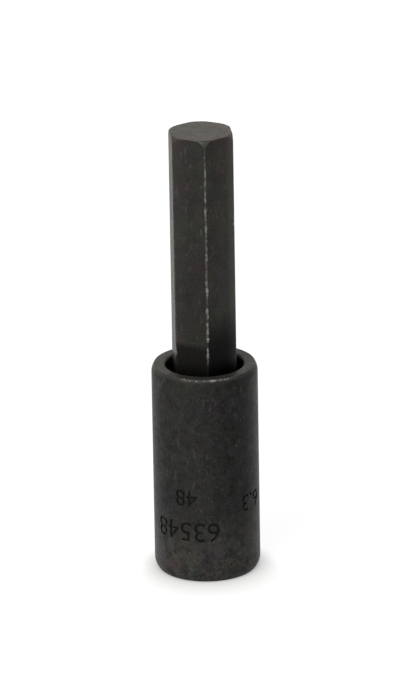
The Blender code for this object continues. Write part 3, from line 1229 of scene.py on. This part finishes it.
# painted light: these zones make the tip face, its facets, the right flat and the outer margins of the front
# flats paler
TIP_FACE = ("Z", tip - 0.04, tip - 0.02, 0.0, 0.45)
FACET_BAND = (-0.08, -0.03)
FACET_START = ("radius", 3.2, 3.225, 0.0, 0.9)
FACET_FADE = (0.5, 1.0, 1.0, 0.4)
RIGHT_FLAT = ("X", 0.5, 1.9, 0.0, 0.14)
LEFT_MARGIN = ("X", -1.4, -3.2, 0.0, 0.3)
LEFT_CORNER = ("X", -3.165, -3.12)
LEFT_HEIGHT = ("Z", 26.0, 42.0, 0.3, 1.0)
RIGHT_MARGIN = ("X", 1.9, 3.2, 0.0, 0.95)
RIGHT_CORNER = ("X", 3.165, 3.12)


def facet_painted_light(tree, at):
    """Painted light on the facets of the tip, which lie on the curve that the rings follow."""
    outwards = maths(tree, "SUBTRACT", at["radius"], TIP_FACE_RADIUS / MM)
    share = maths(tree, "DIVIDE", maths(tree, "MAXIMUM", outwards, 0.0), tip_width / MM)
    drop = maths(tree, "MULTIPLY", maths(tree, "POWER", share, TIP_BULGE), tip_drop / MM)
    over = maths(tree, "SUBTRACT", maths(tree, "ADD", at["Z"], drop), tip)
    on_facet = maths(tree, "MULTIPLY", ramp(tree, over, *FACET_BAND), zone(tree, at, FACET_START))
    return maths(tree, "MULTIPLY", on_facet, ramp(tree, share, *FACET_FADE))


def bit_painted_light(tree, at):
    """Painted light on the tip and towards the outer corners of the front flats."""
    left = zone(tree, at, LEFT_MARGIN, LEFT_CORNER, LEFT_HEIGHT)
    right = zone(tree, at, RIGHT_MARGIN, RIGHT_CORNER)
    flat = zone(tree, at, RIGHT_FLAT)
    return chain(tree, "MAXIMUM", facet_painted_light(tree, at), flat, left, right, zone(tree, at, TIP_FACE))


print(f"tip face pale above {TIP_FACE[1]:.2f} mm")

# %% Oil and painted shade near the mouth
# an oil stain that also paints the shade just above the mouth; the faint darkening on the left is only made
# darker
STAIN_AND_SHADE_SIDE = ("X", -0.3, 0.3)
STAIN_AND_SHADE_LEFT = {"top": 26.1, "foot": 24.9, "depth": 0.82}
STAIN_AND_SHADE_RIGHT = {"top": 30.3, "foot": 25.0, "depth": 0.97}
STAIN_AND_SHADE_EDGE = {"scale": 0.5, "detail": 3, "amount": 1.0}
STAIN_AND_SHADE_MARGIN = ("X", 1.9, 3.2, 1.0, 0.65)
LEFT_DARK_HEIGHT = ("Z", 36.4, 32.4, 0.0, 0.16)
LEFT_DARK_OUTER = ("X", -2.7, -1.9)
LEFT_DARK_INNER = ("X", 0.1, -0.1)


def oil_and_mouth_shade(tree, at):
    """Darker flats near the mouth: a greasy mark that stands higher on the right flats and holds painted
    shade just above the mouth, and a faint darkening higher up on the left.
    """
    side = zone(tree, at, STAIN_AND_SHADE_SIDE)
    edge = {key: ramp(tree, side, 0.0, 1.0, STAIN_AND_SHADE_LEFT[key], STAIN_AND_SHADE_RIGHT[key]) for key in STAIN_AND_SHADE_LEFT}
    uneven = maths(tree, "ADD", at["Z"], stray(tree, at, **STAIN_AND_SHADE_EDGE))
    stain_and_shade = ramp(tree, uneven, edge["top"], edge["foot"], 0.0, edge["depth"])
    stain_and_shade = maths(tree, "MULTIPLY", stain_and_shade, zone(tree, at, STAIN_AND_SHADE_MARGIN))
    # faint darkening higher up on the left flat, near the front corner
    return maths(tree, "MAXIMUM", stain_and_shade, zone(tree, at, LEFT_DARK_HEIGHT, LEFT_DARK_OUTER, LEFT_DARK_INNER))


print(f"oil up to {STAIN_AND_SHADE_LEFT['top']} mm on the left and {STAIN_AND_SHADE_RIGHT['top']} mm on the right")

# %% Bit finish
BIT_LOOK = {
    "dark": (0.0188, 0.0176, 0.0161, 1),
    "light": (0.0340, 0.0319, 0.0291, 1),
    "pale_and_painted_light": (0.0560, 0.0530, 0.0485, 1),
    "scuff": (0.0850, 0.0820, 0.0770, 1),
    "clouds": 0.9,
    "marks": 0.6,
    "pits": 0.35,
    "metal": 0.85,
    "specular": 0.3,
    "tint": (0.88, 0.855, 0.83, 1),
    "roughness": 0.42,
}


def bit_finish():
    """Black coat with bright broken lines on the corners, painted light on the tip and margins, and a greasy
    mark with painted shade near the mouth.
    """
    material, tree, shader = new_material("black_coat_bit")
    at = locate(tree)
    thin, bare = corner_wear(tree, at)
    masks = {"pale_and_painted_light": bit_painted_light(tree, at), "worn": thin, "dark": oil_and_mouth_shade(tree, at), "bare": bare}
    coat(tree, shader, at, BIT_LOOK, masks)
    return material


bit_coat = bit_finish()
bit.data.materials.append(bit_coat)
print(bit_coat.name, len(bit_coat.node_tree.nodes), "nodes")

# %% [markdown]
# ## Spring wire
#
# The ring is drawn wire, bright under a thin film of oil, with fine lines along its length. A stretched
# noise would show them on a straight wire, but here they run round the axis. So the noise is read from the
# height and the distance from the axis only, which are the same all along a line.

# %% Spring wire
WIRE_DARK = (0.20, 0.19, 0.175, 1)
WIRE_LIGHT = (0.42, 0.41, 0.39, 1)
WIRE_LINES = {"scale": 14.0, "detail": 2}
WIRE_CLOUDS = 1.0
WIRE_ROUGHNESS = (0.42, 0.26)
WIRE_BUMP = 0.3


def wire_finish():
    """Drawn spring steel."""
    material, tree, shader = new_material("spring_wire_steel")
    at = locate(tree)
    along = add_node(tree, "ShaderNodeCombineXYZ", {"X": at["radius"], "Y": at["Z"]}).outputs[0]
    lines = noise(tree, along, **WIRE_LINES)["Fac"]
    cloud = use_group(tree, clouds, {"Vector": at["place"], "Scale": WIRE_CLOUDS})["Clouds"]
    blend = maths(tree, "MULTIPLY", lines, cloud)
    bump = {"Height": lines, "Distance": BUMP_DISTANCE, "Strength": WIRE_BUMP}
    sources = {
        "Base Color": mix_colour(tree, blend, WIRE_DARK, WIRE_LIGHT),
        "Roughness": ramp(tree, blend, 0.0, 1.0, *WIRE_ROUGHNESS),
        "Normal": add_node(tree, "ShaderNodeBump", bump).outputs[0],
    }
    for socket, source in sources.items():
        tree.links.new(source, shader.inputs[socket])
    shader.inputs["Metallic"].default_value = 1.0
    return material


wire_steel = wire_finish()
ring.data.materials.append(wire_steel)
print(wire_steel.name, len(wire_steel.node_tree.nodes), "nodes")
